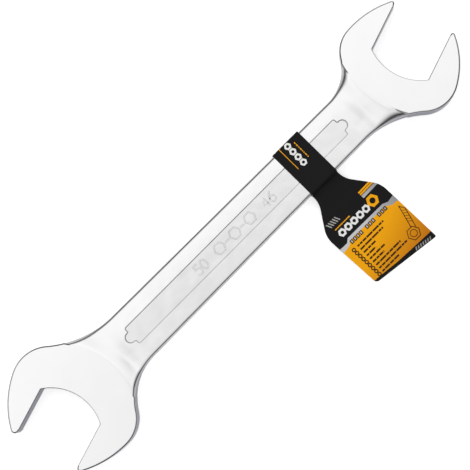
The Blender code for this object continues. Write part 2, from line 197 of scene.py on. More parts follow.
def add(tree, kind, inputs=None, **settings):
    """A shader node with its settings and its inputs."""
    node = tree.nodes.new(kind)
    for name, value in settings.items():
        setattr(node, name, value)
    feed(node, inputs or {})
    return node


def satin_chrome_plate():
    """Satin chrome plate over nickel: a bright mirror with a soft blur.

    The ground faces are bright, the forged faces a little duller, and the floor of the panel duller still.
    The sides carry painted light: the shank's sides are painted brighter than the faces, against the shade
    of the floor they mirror, and the sides of the heads are the greyest, partly from a duller trimmed and
    broached finish and partly painted shade.
    """
    material, tree, shader = new_material("satin_chrome_plate")
    coordinates = add(tree, "ShaderNodeTexCoord").outputs
    place = coordinates["Object"]
    # Clouds in the plate, 18 mm across
    cloud = add(tree, NOISE, {"Vector": place, "Scale": 1 / 0.018, "Detail": 3.0})
    tones = {}
    for name, (dark, light) in CHROME_TONES.items():
        tones[name] = add(tree, MIX, {0: cloud, 6: linear(dark), 7: linear(light)}, data_type="RGBA")

    # Distances from the bar's middle plane, from its centre line and from the middle of the wrench
    spot = add(tree, "ShaderNodeSeparateXYZ", {0: place}).outputs
    rise = add(tree, MATH, {0: spot["Z"], 1: GROUND_FACE}, operation="SUBTRACT")
    rise = add(tree, MATH, {0: rise}, operation="ABSOLUTE")
    aside = add(tree, MATH, {0: spot["Y"]}, operation="ABSOLUTE")
    along = add(tree, MATH, {0: spot["X"], 1: HEAD_TO_MIDDLE}, operation="SUBTRACT")
    along = add(tree, MATH, {0: along}, operation="ABSOLUTE")

    # How far the surface is a ground face, the panel's floor, part of a head, and a face rather than a side
    ground = add(tree, REMAP, {"Value": rise, "From Min": GROUND_FACE - FORGED_TO_GROUND[0],
                               "From Max": GROUND_FACE - FORGED_TO_GROUND[1]})
    within = add(tree, REMAP, {"Value": aside, "From Min": PANEL_HALF_WIDTH,
                               "From Max": PANEL_HALF_WIDTH - PANEL_EDGE})
    under = add(tree, REMAP, {"Value": rise, "From Min": SHANK_FACE - FACE_TO_FLOOR[0],
                              "From Max": SHANK_FACE - FACE_TO_FLOOR[1]})
    sunk = add(tree, MATH, {0: within, 1: under}, operation="MULTIPLY")
    toward_heads = add(tree, REMAP, {"Value": along, "From Min": SHANK_TO_HEAD[0],
                                "From Max": SHANK_TO_HEAD[1]})
    facing = add(tree, "ShaderNodeSeparateXYZ", {0: coordinates["Normal"]}).outputs
    upright = add(tree, MATH, {0: facing["Z"]}, operation="ABSOLUTE")
    flat = add(tree, REMAP, {"Value": upright, "From Min": SIDE_TO_FACE[0], "From Max": SIDE_TO_FACE[1]})

    face = add(tree, MIX, {0: ground, 6: tones["forged face"], 7: tones["ground face"]}, data_type="RGBA")
    face = add(tree, MIX, {0: sunk, 6: face, 7: tones["panel floor"]}, data_type="RGBA")
    # The sides take painted tones: lighter along the shank, and greyer with painted shade at the heads
    side = add(tree, MIX, {0: toward_heads, 6: tones["shank side painted light"], 7: tones["head side duller with painted shade"]}, data_type="RGBA")
    tone = add(tree, MIX, {0: flat, 6: side, 7: face}, data_type="RGBA")
    gloss = add(tree, REMAP, {"Value": cloud, "To Min": 0.11, "To Max": 0.17})

    # Long waves left by the dies on the forged surfaces, 13 mm across
    wave = add(tree, NOISE, {"Vector": place, "Scale": 1 / 0.013, "Detail": 1.0})
    forged = add(tree, MATH, {0: 1.0, 1: ground}, operation="SUBTRACT")
    relief = add(tree, BUMP, {"Strength": forged, "Distance": 0.00022, "Height": wave})
    # The tumbled skin of the bar, an orange peel 1.6 mm across
    peel = add(tree, NOISE, {"Vector": place, "Scale": 1 / 0.0016, "Detail": 2.0})
    relief = add(tree, BUMP, {"Strength": 0.05, "Distance": 0.0002, "Height": peel, "Normal": relief})
    # Grinding marks along the faces of the heads, 0.3 mm apart and 12 mm long, which is coarser than real
    # ones. The rotation comes after the stretch, so it only picks another part of the noise.
    stretch = (1 / 0.012, 1 / 0.0003, 1 / 0.012)
    stretched = add(tree, "ShaderNodeMapping", {"Vector": place, "Rotation": (0.0, 0.0, radians(28.0)),
                                                "Scale": stretch})
    scratches = add(tree, NOISE, {"Vector": stretched, "Scale": 1.0, "Detail": 2.0})
    shallow = add(tree, MATH, {0: ground, 1: 0.10}, operation="MULTIPLY")
    relief = add(tree, BUMP, {"Strength": shallow, "Distance": 0.00002, "Height": scratches,
                              "Normal": relief})
    feed(shader, {"Base Color": tone, "Roughness": gloss, "Normal": relief, "Metallic": 1.0,
                  "Specular Tint": linear("#A8AAAE")})
    return material


def polar(centre, radius, angle):
    return centre + radius * Vector((cos(angle), sin(angle)))


def arc(centre, start, end, pitch=PITCH):
    """Points of the round stretch about centre from start to end, the short way, both ends included."""
    radius = (start - centre).length
    first = atan2(start.y - centre.y, start.x - centre.x)
    last = atan2(end.y - centre.y, end.x - centre.x)
    turn = (last - first + pi) % (2 * pi) - pi
    steps = max(ceil(abs(turn) * radius / pitch), ceil(abs(turn) / LARGEST_TURN))
    return [polar(centre, radius, first + turn * i / steps) for i in range(steps + 1)]


def on_line(centre, other, distance):
    return centre + distance * (other - centre).normalized()


def crossings(first, first_radius, second, second_radius):
    """The two points where two circles cross."""
    span = second - first
    gap = span.length
    along = (gap ** 2 + first_radius ** 2 - second_radius ** 2) / (2 * gap)
    aside = sqrt(first_radius ** 2 - along ** 2)
    foot = on_line(first, second, along)
    normal = Vector((-span.y, span.x)) / gap
    return foot + aside * normal, foot - aside * normal


def rounded(corners, pitch=PITCH, closed=True):
    """An outline from (point, radius) corners, each rounded by an arc of its radius."""
    outline = []
    for i, (corner, radius) in enumerate(corners):
        if radius == 0 or not closed and i in (0, len(corners) - 1):
            outline.append(corner)
            continue
        before = (corners[i - 1][0] - corner).normalized()
        after = (corners[(i + 1) % len(corners)][0] - corner).normalized()
        half_angle = before.angle(after) / 2
        centre = corner + (before + after).normalized() * (radius / sin(half_angle))
        reach = radius * cos(half_angle) / sin(half_angle)
        outline += arc(centre, corner + reach * before, corner + reach * after, pitch)
    return outline


def from_jaw(head, along, aside):
    """A point of the head frame, from its places along and aside of the jaw's axis."""
    turn = head.jaw_angle
    return Vector((head.floor_x + along * cos(turn) - aside * sin(turn),
                   head.floor_y + along * sin(turn) + aside * cos(turn)))


def neck_centre(head, prong):
    """Centre of the hollow arc that touches the crown and the straight edge of the shank."""
    crown = from_jaw(head, prong.crown_along, prong.side * prong.crown_aside)
    y = prong.side * (head.shank_half + prong.neck_radius)
    back = sqrt((prong.crown_radius + prong.neck_radius) ** 2 - (y - crown.y) ** 2)
    return Vector((crown.x - back, y))


def neck_point(head, prong, share, inset):
    """A point of the neck's edge, from the shank at share 0 to the ground face at 1, moved in by inset."""
    angle = prong.side * (prong.neck_turn * share - pi / 2)
    return polar(neck_centre(head, prong), prong.neck_radius + inset, angle)


def prong_edge(head, prong):
    """The head's edge from the back of the ground face, over the crown and the prong, to the jaw flat."""
    half = head.opening / 2
    crown = Vector((prong.crown_along, prong.side * prong.crown_aside))
    tip = Vector((prong.reach, prong.side * half))
    bows = crossings(tip, prong.prong_radius, crown, prong.prong_radius - prong.crown_radius)
    bow = min(bows, key=lambda point: prong.side * point.y)
    nose_aside = prong.side * (half + prong.tip_radius)
    nose_along = bow.x + sqrt((prong.prong_radius - prong.tip_radius) ** 2 - (nose_aside - bow.y) ** 2)
    nose = from_jaw(head, nose_along, nose_aside)
    nose_end = from_jaw(head, nose_along, prong.side * half)
    bow = from_jaw(head, bow.x, bow.y)
    crown = from_jaw(head, crown.x, crown.y)
    neck = neck_centre(head, prong)
    crown_start = on_line(crown, neck, prong.crown_radius)
    crown_end = on_line(bow, crown, prong.prong_radius)
    nose_start = on_line(bow, nose, prong.prong_radius)
    edge = arc(neck, neck_point(head, prong, 1.0, 0.0), crown_start)[:-1]
    edge += arc(crown, crown_start, crown_end)[:-1]
    edge += arc(bow, crown_end, nose_start)[:-1]
    edge += arc(nose, nose_start, nose_end)
    return edge


def blank_head_outline(head):
    """A head's edge before its mouth is broached, closed straight across from tip to tip."""
    short_edge = prong_edge(head, head.short)
    long_edge = prong_edge(head, head.long)
    ends = crossings(long_edge[0], head.back_radius, short_edge[0], head.back_radius)
    centre = max(ends, key=lambda point: point.x)
    return short_edge + long_edge[::-1] + arc(centre, long_edge[0], short_edge[0])[1:-1]


def mouth_outline(head):
    """What the broach takes away: two flats and the curved floor between them, run out past the tips."""
    half = head.opening / 2
    past = max(head.long.reach, head.short.reach) + BROACH_OVERRUN
    corners = []
    for side in (1, -1):
        aside = side * half - head.floor_shift
        depth = head.floor_radius - sqrt(head.floor_radius ** 2 - aside ** 2)
        corners.append(from_jaw(head, depth, side * half))
    centre = from_jaw(head, head.floor_radius, head.floor_shift)
    return [from_jaw(head, past, half)] + arc(centre, *corners) + [from_jaw(head, past, -half)]


def panel_outline():
    """The sunk panel: a long rectangle with a round lobe at the middle of each end."""
    half_end = ((0.0, PANEL_HALF_WIDTH, PANEL_CORNER_RADIUS), (0.0, LOBE_HALF_WIDTH, LOBE_ROOT_RADIUS),
                (LOBE_REACH, LOBE_HALF_WIDTH, LOBE_TIP_RADIUS))
    corners = []
    for x, way in ((PANEL_START, -1), (PANEL_END, 1)):
        for side, end in ((-way, half_end), (way, half_end[::-1])):
            corners += [(Vector((x + way * reach, side * aside)), radius) for reach, aside, radius in end]
    return rounded(corners, PITCH / 3)


def grown(outline, by):
    """A closed outline moved out by a distance, or in where it is negative."""
    turn = sum(a.x * b.y - b.x * a.y for a, b in zip(outline, outline[1:] + outline[:1]))
    way = 1 if turn > 0 else -1
    result = []
    for i, point in enumerate(outline):
        before = (point - outline[i - 1]).normalized()
        after = (outline[(i + 1) % len(outline)] - point).normalized()
        normal = Vector((before.y + after.y, -before.x - after.x)).normalized() * way
        spread = normal.dot(Vector((before.y, -before.x)) * way)
        result.append(point + normal * (by / spread))
    return result


def loft(solid, rings):
    """Adds a closed skin through rings of 3-D points, which have as many points each."""
    loops = [[solid.verts.new(point) for point in ring] for ring in rings]
    count = len(loops[0])
    for loop, following in zip(loops, loops[1:]):
        for i in range(count):
            j = (i + 1) % count
            solid.faces.new((loop[i], loop[j], following[j], following[i]))
    solid.faces.new(loops[0][::-1])
    solid.faces.new(loops[-1])


def lofted(rings):
    """A solid through rings of 3-D points."""
    solid = bmesh.new()
    loft(solid, rings)
    bmesh.ops.recalc_face_normals(solid, faces=solid.faces)
    return solid


def profiled(outline, profile):
    """A solid whose outline changes with height, as (height, growth) pairs say."""
    return lofted([[(point.x, point.y, z) for point in grown(outline, by)] for z, by in profile])


def put_in_scene(name, data):
    """A new object in the scene that shows a mesh, a light or a camera."""
    item = bpy.data.objects.new(name, data)
    bpy.context.scene.collection.objects.link(item)
    return item


def mesh_object(name, solid):
    """A new object in the scene made from a bmesh, which is used up."""
    mesh = bpy.data.meshes.new(name)
    solid.to_mesh(mesh)
    solid.free()
    return put_in_scene(name, mesh)


def dress(item, materials, sharp_angle):
    """Gives a mesh object its materials, and makes it smooth but for edges sharper than an angle."""
    for material in materials:
        item.data.materials.append(material)
    item.data.shade_smooth()
    item.data.set_sharp_from_angle(angle=sharp_angle)


def about_middle(name, solid, turn=0.0):
    """An object of a solid laid out about the wrench's middle, turned about Z and brought to its place."""
    item = mesh_object(name, solid)
    middle = Matrix.Translation((HEAD_TO_MIDDLE, 0.0, GROUND_FACE))
    item.data.transform(middle @ Matrix.Rotation(turn, 4, "Z"))
    return item


def work(base, tool, operation):
    """Joins a tool to the base or cuts it away, and throws the tool away."""
    step = base.modifiers.new("step", "BOOLEAN")
    step.operation = operation
    step.solver = "EXACT"
    step.object = tool
    bpy.context.view_layer.update()
    graph = bpy.context.evaluated_depsgraph_get()
    mesh = bpy.data.meshes.new_from_object(base.evaluated_get(graph), depsgraph=graph)
    base.modifiers.clear()
    base.data = mesh
    bpy.data.objects.remove(tool, do_unlink=True)


def edge_profile(run):
    """(inset, fall) pairs from the bar's side in to where its face stops curving down toward it."""
    drop = run * tan(SIDE_TILT) / 2
    profile = []
    for i in range(CORNER_STEPS):
        tilt = pi / 2 - (pi / 2 - SIDE_TILT) * i / CORNER_STEPS
        profile.append((CORNER_RADIUS * (1 - sin(tilt)),
                        drop + CORNER_RADIUS * (cos(SIDE_TILT) - cos(tilt))))
    for i in range(EDGE_STEPS + 1):
        share = 1 - i / EDGE_STEPS
        profile.append((CORNER_RADIUS * (1 - sin(SIDE_TILT)) + run * (1 - share), drop * share ** 2))
    return profile


def section(start, end, bow, half_height, runs, crown):
    """A closed cross-section of the forged bar that stands on the line from start to end.

    The line bulges by bow, toward the middle of the wrench. Both faces curve down toward the sides over the
    two runs, and are lower by crown at their edges than in their middle.
    """
    across = end - start
    width = across.length
    inward = Vector((-across.y, across.x)) / width
    first, last = (edge_profile(run) for run in runs)
    face_start, face_end = first[-1][0], width - last[-1][0]
    profile = first + [(face_start + (face_end - face_start) * i / ACROSS_STEPS, 0.0)
                       for i in range(1, ACROSS_STEPS)]
    profile += [(width - inset, fall) for inset, fall in last[::-1]]
    top = []
    for inset, fall in profile:
        share = inset / width
        point = start + across * share + inward * (4 * bow * share * (1 - share))
        top.append(Vector((point.x, point.y, half_height - crown * (2 * share - 1) ** 2 - fall)))
    return top + [Vector((point.x, point.y, -point.z)) for point in reversed(top)]


def hollowed(loop, head):
    """A cross-section with the soft hollow behind the ground face pressed into both its faces."""
    result = []
    for point in loop:
        along = point.x - head.hollow_x
        along /= HOLLOW_TO_HEAD if along > 0 else HOLLOW_TO_SHANK
        aside = (point.y - head.hollow_y) / HOLLOW_ACROSS
        depth = HOLLOW_DEPTH * exp(-(along ** 2 + aside ** 2) / 2)
        result.append(Vector((point.x, point.y, point.z - depth if point.z > 0 else point.z + depth)))
    return result


def neck_sections(head):
    """Cross-sections from the shank to inside the head, in the head frame."""
    long_end = neck_point(head, head.long, 1.0, 0.0)
    short_end = neck_point(head, head.short, 1.0, 0.0)
    chord = (short_end - long_end).length
    sagitta = head.back_radius - sqrt(head.back_radius ** 2 - (chord / 2) ** 2)
    rise = GROUND_FACE - GRIND_STEP - SHANK_FACE
    sections = []
    for i in range(NECK_STATIONS):
        share = NECK_RUN_SHARE * i / (NECK_STATIONS - 1)
        start = neck_point(head, head.long, share, RIM_STEP)
        end = neck_point(head, head.short, share, RIM_STEP)
        ramp = min(max(0.0, (share - RAMP_START) / (RAMP_END - RAMP_START)), 1.0)
        climb = ramp ** 2 * (3 - 2 * ramp)
        spread = min(share, 1.0) ** 2
        runs = [SHANK_RUN + (prong.neck_run - SHANK_RUN) * spread for prong in (head.long, head.short)]
        height = SHANK_FACE + rise * climb
        loop = section(start, end, sagitta * share ** 2, height, runs, CROWN * (1 - climb))
        sections.append(hollowed(loop, head))
    root_start = long_end + Vector((NECK_ROOT, NECK_ROOT))
    root_end = short_end + Vector((NECK_ROOT, -NECK_ROOT))
    sections.append(section(root_start, root_end, 0.0, SHANK_FACE + rise, runs, 0.0))
    return sections


def turned(sections):
    """Sections of the large head's frame brought to the small head's, with the same way round."""
    half = len(sections[0]) // 2
    result = []
    for loop in sections:
        loop = [Vector((-point.x, -point.y, point.z)) for point in loop]
        result.append(loop[:half][::-1] + loop[half:][::-1])
    return result


def head_side():
    """Height and growth pairs of a head's side, with the bevel at both its edges."""
    top = [(GROUND_FACE - depth, -inset) for depth, inset in HEAD_BEVEL]
    return [(-height, growth) for height, growth in reversed(top)] + top


def build_wrench():
    """The forged bar, joined to each head and broached at its mouth, then pressed on both faces."""
    sections = turned(neck_sections(LARGE_HEAD))[::-1] + neck_sections(SMALL_HEAD)
    bar = about_middle("wrench_body", lofted(sections))
    over = GROUND_FACE + MOUTH_CHAMFER_DEPTH
    foot = GROUND_FACE - MOUTH_CHAMFER_DEPTH
    flare = 2 * MOUTH_CHAMFER_WIDTH
    mouth_wall = [(-over, flare), (-foot, 0.0), (foot, 0.0), (over, flare)]
    for head, turn in ((LARGE_HEAD, pi), (SMALL_HEAD, 0.0)):
        blank = profiled(blank_head_outline(head), head_side())
        work(bar, about_middle("head", blank, turn), "UNION")
        broach = profiled(mouth_outline(head), mouth_wall)
        work(bar, about_middle("broach", broach, turn), "DIFFERENCE")
    for way in (1, -1):
        die = profiled(panel_outline(), [(way * (PANEL_FLOOR + height), by) for height, by in DIE_WALL])
        work(bar, about_middle("die", die), "DIFFERENCE")
    return bar


chrome = satin_chrome_plate()
wrench = build_wrench()
wrench.data.materials.clear()
dress(wrench, [chrome], sharp_angle=radians(20.0))
crisp = wrench.modifiers.new("flat_faces", "WEIGHTED_NORMAL")
crisp.keep_sharp = True
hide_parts("wrench")
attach(wrench, "wrench")


# Marks in the panel
# The dies also raised these from the panel's floor: the two openings in millimetres, one near each end, and
# between them a plain row of hexagons and bars. Forged in one with the bar, so the same chrome covers them.

MARKS_REACH = 0.0400
# How high a figure is, and how far one stands from the next and how wide it is as shares of that
MARK_HEIGHT = 0.0080
FIGURE_STEP = 0.75
FIGURE_WIDTH = 0.60
# A stroke's width at its foot, the share of it that the top keeps, and how far it stands up and roots down
MARK_STROKE = 0.0011
MARK_TAPER = 0.56
MARK_RISE = 0.00035
MARK_SINK = 0.0001
HEXAGON_RADIUS = 0.0046
HEXAGON_STEP = 0.0155
HEXAGON_BAR = 0.0039


def oval(x, y, half_width, half_height, degrees):
    """Points round an oval at the given angles."""
    return [(x + half_width * cos(radians(a)), y + half_height * sin(radians(a))) for a in degrees]


# The strokes of each figure, on a field 1 high
FIGURES = {
    "4": [[(0.44, 0.0), (0.44, 1.0), (0.0, 0.32), (0.60, 0.32)]],
    "5": [[(0.54, 1.0), (0.10, 1.0), (0.06, 0.56)] + oval(0.28, 0.31, 0.30, 0.31, range(125, -156, -20))],
    "6": [[(0.50, 1.0), (0.26, 0.78), (0.06, 0.48)] + oval(0.30, 0.29, 0.28, 0.29, range(160, 521, 20))],
    "0": [oval(0.30, 0.50, 0.28, 0.50, range(90, 451, 20))],
}


def raised_line(solid, points, way):
    """Adds one stroke that stands on the panel's floor and narrows toward its top."""
    foot, top = MARK_STROKE / 2, MARK_TAPER / 2 * MARK_STROKE
    corners = ((-foot, -MARK_SINK), (-top, MARK_RISE), (top, MARK_RISE), (foot, -MARK_SINK))
    rings = []
    for i, point in enumerate(points):
        before, after = points[max(i - 1, 0)], points[min(i + 1, len(points) - 1)]
        heading = (after - before).normalized()
        normal = Vector((-heading.y, heading.x))
        ring = [(point + normal * aside, height) for aside, height in corners]
        rings.append([(spot.x, way * spot.y, way * (PANEL_FLOOR + height)) for spot, height in ring])
    loft(solid, rings)


def build_marks():
    """The same marks on both faces of the bar, each read from its own side."""
    lines = []
    last_text_x = MARKS_REACH - (FIGURE_STEP + FIGURE_WIDTH) * MARK_HEIGHT
    for text, x in (("50", -MARKS_REACH), ("46", last_text_x)):
        for i, figure in enumerate(text):
            corner = Vector((x + FIGURE_STEP * MARK_HEIGHT * i, -MARK_HEIGHT / 2))
            lines += [[corner + MARK_HEIGHT * Vector(point) for point in line] for line in FIGURES[figure]]
    for place in (-1, 0, 1):
        centre = Vector((place * HEXAGON_STEP, 0.0))
        lines.append([polar(centre, HEXAGON_RADIUS, pi / 3 * i) for i in range(7)])
    for place in (-0.5, 0.5):
        centre = place * HEXAGON_STEP
        lines.append([Vector((centre - HEXAGON_BAR / 2, 0.0)), Vector((centre + HEXAGON_BAR / 2, 0.0))])
    solid = bmesh.new()
    for way in (1, -1):
        for line in lines:
            raised_line(solid, line, way)
    bmesh.ops.recalc_face_normals(solid, faces=solid.faces)
    return about_middle("panel_marks", solid)


raised_marks = build_marks()
raised_marks.data.materials.append(chrome)
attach(raised_marks, "wrench")


# Hang tag
# One die cut blank of coated paperboard, printed on one side. It is wound once round the shank, creased at
# the shank's edge, and its two ends are glued back to back to make the flag.

BOARD = 0.0004
GLUE_FILM = 0.00005
BAND_HALF = 0.0128
sleeve_low, sleeve_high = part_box("tag_sleeve")
TAG_X = sleeve_low[0] + BAND_HALF
LOOP_HALF_WIDTH = sleeve_high[1]
LOOP_BOTTOM = sleeve_low[2]
LOOP_TOP = sleeve_high[2]
LOOP_CORNER = 0.0016
# The crease lies where the frame has the joint that the flag folds about
CREASE_Y = -0.02137061
CREASE_Z = 0.00825
CREASE_RADIUS = 0.0020
FLAG_HALF_WIDTH = 0.0280
FLAG_FOOT_HALF_WIDTH = 0.0274
FLAG_LENGTH = 0.0839
FLAG_NECK_LENGTH = 0.0062
FLAG_SHOULDER = 0.0278
FLAG_NECK_RADIUS = 0.0170
FLAG_SHOULDER_RADIUS = 0.0190
FLAG_NEAR_CORNER_RADIUS = 0.0035
FLAG_FAR_CORNER_RADIUS = 0.0012
# The foot of the flag is cut at a slant, and the whole flag leans along the shank
FLAG_SLANT = radians(7.3)
FLAG_LEAN = radians(2.3)
# The flag sinks until the middle of its foot is this far over the surface that the wrench lies on
FLAG_FOOT_HEIGHT = 0.00055
FLAG_FALL = asin((CREASE_Z - FLAG_FOOT_HEIGHT) / FLAG_LENGTH)
FLAG_HALF_THICKNESS = BOARD + GLUE_FILM / 2
# How far from the crease the path along the flag begins, past its foot
PATH_START = 0.0900
# How far apart the leaves are cut across, which keeps their faces short
LEAF_CUT = 0.0020


def fold_path():
    """The board's printed face in Y and Z, from past the front leaf's foot round to the back leaf's."""
    down = Vector((-cos(FLAG_FALL), -sin(FLAG_FALL)))
    up = Vector((-sin(FLAG_FALL), cos(FLAG_FALL)))
    crease = Vector((CREASE_Y, CREASE_Z))
    front = crease + FLAG_HALF_THICKNESS * up
    back = crease - FLAG_HALF_THICKNESS * up
    wall = -LOOP_HALF_WIDTH
    band = [(Vector(corner), LOOP_CORNER) for corner in ((wall, LOOP_TOP), (-wall, LOOP_TOP),
                                                         (-wall, LOOP_BOTTOM), (wall, LOOP_BOTTOM))]
    leaves = [[(leaf + down * ((wall - leaf.x) / down.x), CREASE_RADIUS), (leaf + PATH_START * down, 0.0)]
              for leaf in (front, back)]
    return rounded(leaves[0][::-1] + band + leaves[1], 0.0003, closed=False)


path = fold_path()
reached = [0.0]
for before, after in zip(path, path[1:]):
    reached.append(reached[-1] + (after - before).length)
LOOP_LENGTH = reached[-1] - 2 * PATH_START
# The places down the board at which the path turns
bends = [PATH_START - distance for distance in reached[1:-1]]


def on_path(down, lift):
    """Where the folded board's printed face lies, "down" from the front crease, lifted off it by "lift"."""
    along = min(max(PATH_START - down, 0.0), reached[-1])
    i = min(max(bisect_right(reached, along) - 1, 0), len(path) - 2)
    heading = (path[i + 1] - path[i]).normalized()
    outward = Vector((-heading.y, heading.x))
    return path[i] + heading * (along - reached[i]) + outward * lift


def leaf_corners():
    """Corners of one leaf as ((across, down), radius), from the left of the crease to the right."""
    near = FLAG_LENGTH - 2 * FLAG_FOOT_HALF_WIDTH * tan(FLAG_SLANT)
    left = [(-BAND_HALF, 0.0, 0.0), (-BAND_HALF, FLAG_NECK_LENGTH, FLAG_NECK_RADIUS),
            (-FLAG_HALF_WIDTH, FLAG_SHOULDER, FLAG_SHOULDER_RADIUS)]
    foot = [(-FLAG_FOOT_HALF_WIDTH, near, FLAG_NEAR_CORNER_RADIUS),
            (FLAG_FOOT_HALF_WIDTH, FLAG_LENGTH, FLAG_FAR_CORNER_RADIUS)]
    right = [(-x, y, radius) for x, y, radius in left[::-1]]
    return [(Vector((x + y * tan(FLAG_LEAN), y)), radius) for x, y, radius in left + foot + right]


def blank_outline():
    """The flat blank: the front leaf, the band that goes round the shank, and the back leaf."""
    front = leaf_corners()
    back = [(Vector((point.x, -LOOP_LENGTH - point.y)), radius) for point, radius in front]
    return rounded(front[1:-1] + back[1:-1][::-1], 0.0008)


def cut_across(solid, places):
    """Adds an edge right across a flat mesh at each place down it."""
    for y in places:
        everything = solid.verts[:] + solid.edges[:] + solid.faces[:]
        bmesh.ops.bisect_plane(solid, geom=everything, plane_co=(0, y, 0), plane_no=(0, 1, 0), dist=1e-7)


def build_card():
    """The blank as a board of real thickness, cut across where it bends and then laid along the path."""
    solid = bmesh.new()
    solid.faces.new([solid.verts.new((point.x, point.y, 0.0)) for point in blank_outline()])
    cuts = [LEAF_CUT * i for i in range(2, ceil(FLAG_LENGTH / LEAF_CUT))]
    cut_across(solid, bends + cuts + [-LOOP_LENGTH - cut for cut in cuts])
    faces = solid.faces[:]
    solid.normal_update()
    if faces[0].normal.z < 0:
        bmesh.ops.reverse_faces(solid, faces=faces)
    rear = bmesh.ops.duplicate(solid, geom=solid.verts[:] + solid.edges[:] + faces)["geom"]
    rear_faces = [item for item in rear if isinstance(item, bmesh.types.BMFace)]
    bmesh.ops.reverse_faces(solid, faces=rear_faces)
    for item in rear:
        if isinstance(item, bmesh.types.BMVert):
            item.co.z = -BOARD
    rim = [edge for edge in solid.edges if edge.is_boundary]
    bmesh.ops.bridge_loops(solid, edges=rim)
    # The printed side takes the first material, and the rear and the cut edges take the second
    for face in solid.faces:
        heights = {round(vert.co.z, 6) for vert in face.verts}
        face.material_index = 0 if heights == {0.0} else 1
    for vert in solid.verts:
        place = on_path(vert.co.y, vert.co.z)
        vert.co = (TAG_X + vert.co.x, place.x, place.y)
    bmesh.ops.recalc_face_normals(solid, faces=solid.faces)
    return solid


def black_coated_print():
    """Black offset ink under an aqueous coating: a deep black with a soft sheen and a faint fibre."""
    material, tree, shader = new_material("black_coated_print")
    place = add(tree, "ShaderNodeTexCoord").outputs["Object"]
    # Uneven take-up of the ink, 6 mm across
    cloud = add(tree, NOISE, {"Vector": place, "Scale": 1 / 0.006, "Detail": 4.0})
    tone = add(tree, MIX, {0: cloud, 6: linear("#121113"), 7: linear("#19181A")}, data_type="RGBA")
    gloss = add(tree, REMAP, {"Value": cloud, "To Min": 0.40, "To Max": 0.52})
    # Fibres of the board under the coating, 0.5 mm
    fibre = add(tree, NOISE, {"Vector": place, "Scale": 1 / 0.0005, "Detail": 2.0})
    relief = add(tree, BUMP, {"Strength": 0.08, "Distance": 0.00005, "Height": fibre})
    feed(shader, {"Base Color": tone, "Roughness": gloss, "Normal": relief, "Specular IOR Level": 0.10})
    return material


def grey_paperboard():
    """Bare grey board: the unprinted side and the cut edges, matt and a little mottled."""
    material, tree, shader = new_material("grey_paperboard")
    place = add(tree, "ShaderNodeTexCoord").outputs["Object"]
    # Fibres of the pulp, 0.7 mm
    fibre = add(tree, NOISE, {"Vector": place, "Scale": 1 / 0.0007, "Detail": 4.0})
    tone = add(tree, MIX, {0: fibre, 6: linear("#B9B4AA"), 7: linear("#CFCBC2")}, data_type="RGBA")
    feed(shader, {"Base Color": tone, "Roughness": 0.85})
    return material


card = mesh_object("tag_card", build_card())
dress(card, [black_coated_print(), grey_paperboard()], sharp_angle=radians(40.0))
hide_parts("tag_sleeve", "tag_front_leaf", "tag_back_leaf")
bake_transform(card)


# Print on the tag
# Offset inks on the board's coated side: an orange field under a silver band, rows of small dashes, and
# plain nut and bolt marks. Each ink is a film of its own, a fiftieth of a millimetre proud.

INK_LIFT = 0.00002
# The inks of the leaf stay this far down from the crease, where the board is flat
FLAG_TOP_LIMIT = 0.0060
# How far along its slant an ink takes to go from its light tone to its dark one
TONE_RUN = 0.038
# The fields of ink are made of strips about this wide
STRIP_WIDTH = 0.00025


def printed_ink(name, light, dark, slant=0.0, roughness=0.42):
    """Offset ink that goes from a light tone to a dark one along a slant, with a fine halftone grain.

    The slant is the turn from X of the way in which it darkens, in the plane of the wrench.
    """
    ink, tree, shader = new_material(name)
    place = add(tree, "ShaderNodeTexCoord").outputs["Object"]
    to_middle = (-TAG_X, 0.075, 0.0)
    from_middle = add(tree, "ShaderNodeVectorMath", {0: place, 1: to_middle}, operation="ADD")
    heading = (cos(slant), sin(slant), 0.0)
    along = add(tree, "ShaderNodeVectorMath", {0: from_middle, 1: heading}, operation="DOT_PRODUCT")
    ramp = add(tree, REMAP, {"Value": along, "From Min": 0.0, "From Max": TONE_RUN})
    # Halftone grain, 0.35 mm, a little coarser than the screen of such print
    grain = add(tree, NOISE, {"Vector": place, "Scale": 1 / 0.00035})
    mottle = add(tree, MATH, {0: grain, 1: 0.30, 2: -0.15}, operation="MULTIPLY_ADD")
    share = add(tree, MATH, {0: ramp, 1: mottle}, operation="ADD", use_clamp=True)
    tone = add(tree, MIX, {0: share, 6: linear(light), 7: linear(dark)}, data_type="RGBA")
    sheen = add(tree, REMAP, {"Value": grain, "To Min": roughness - 0.05, "To Max": roughness + 0.05})
    feed(shader, {"Base Color": tone, "Roughness": sheen, "Specular IOR Level": 0.10})
    return ink


def print_film(name, shapes, ink, body, coats=1):
    """Lays (across, down) shapes on the board as a film of ink that moves with a body.

    A film printed over others lies on them, as the number of coats says.
    """
    film = bmesh.new()
    for shape in shapes:
        face = film.faces.new([film.verts.new((across, down, 0.0)) for across, down in shape])
        face.normal_update()
        if face.normal.z < 0:
            face.normal_flip()
    heights = [vert.co.y for vert in film.verts]
    cut_across(film, [place for place in bends if min(heights) < place < max(heights)])
    for vert in film.verts:
        point = on_path(vert.co.y, coats * INK_LIFT)
        vert.co = (TAG_X + vert.co.x, point.x, point.y)
    item = mesh_object(name, film)
    dress(item, [ink], sharp_angle=radians(40.0))
    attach(item, body)


def value_at(line, across):
    """How far down a line through (across, down) points lies at one place across."""
    for (a, b), (c, d) in zip(line, line[1:]):
        if a <= across <= c:
            return b + (d - b) * (across - a) / (c - a)
    return line[0][1] if across < line[0][0] else line[-1][1]


leaf_edge = [point for point in rounded(leaf_corners(), 0.0004) if point.y > FLAG_TOP_LIMIT]


def leaf_span(across):
    """The highest and lowest place of the leaf at one place across."""
    crossed = []
    for a, b in zip(leaf_edge, leaf_edge[1:]):
        if min(a.x, b.x) <= across < max(a.x, b.x):
            crossed.append(a.y + (b.y - a.y) * (across - a.x) / (b.x - a.x))
    return (min(crossed), max(crossed)) if len(crossed) > 1 else (0.0, max(crossed, default=0.0))


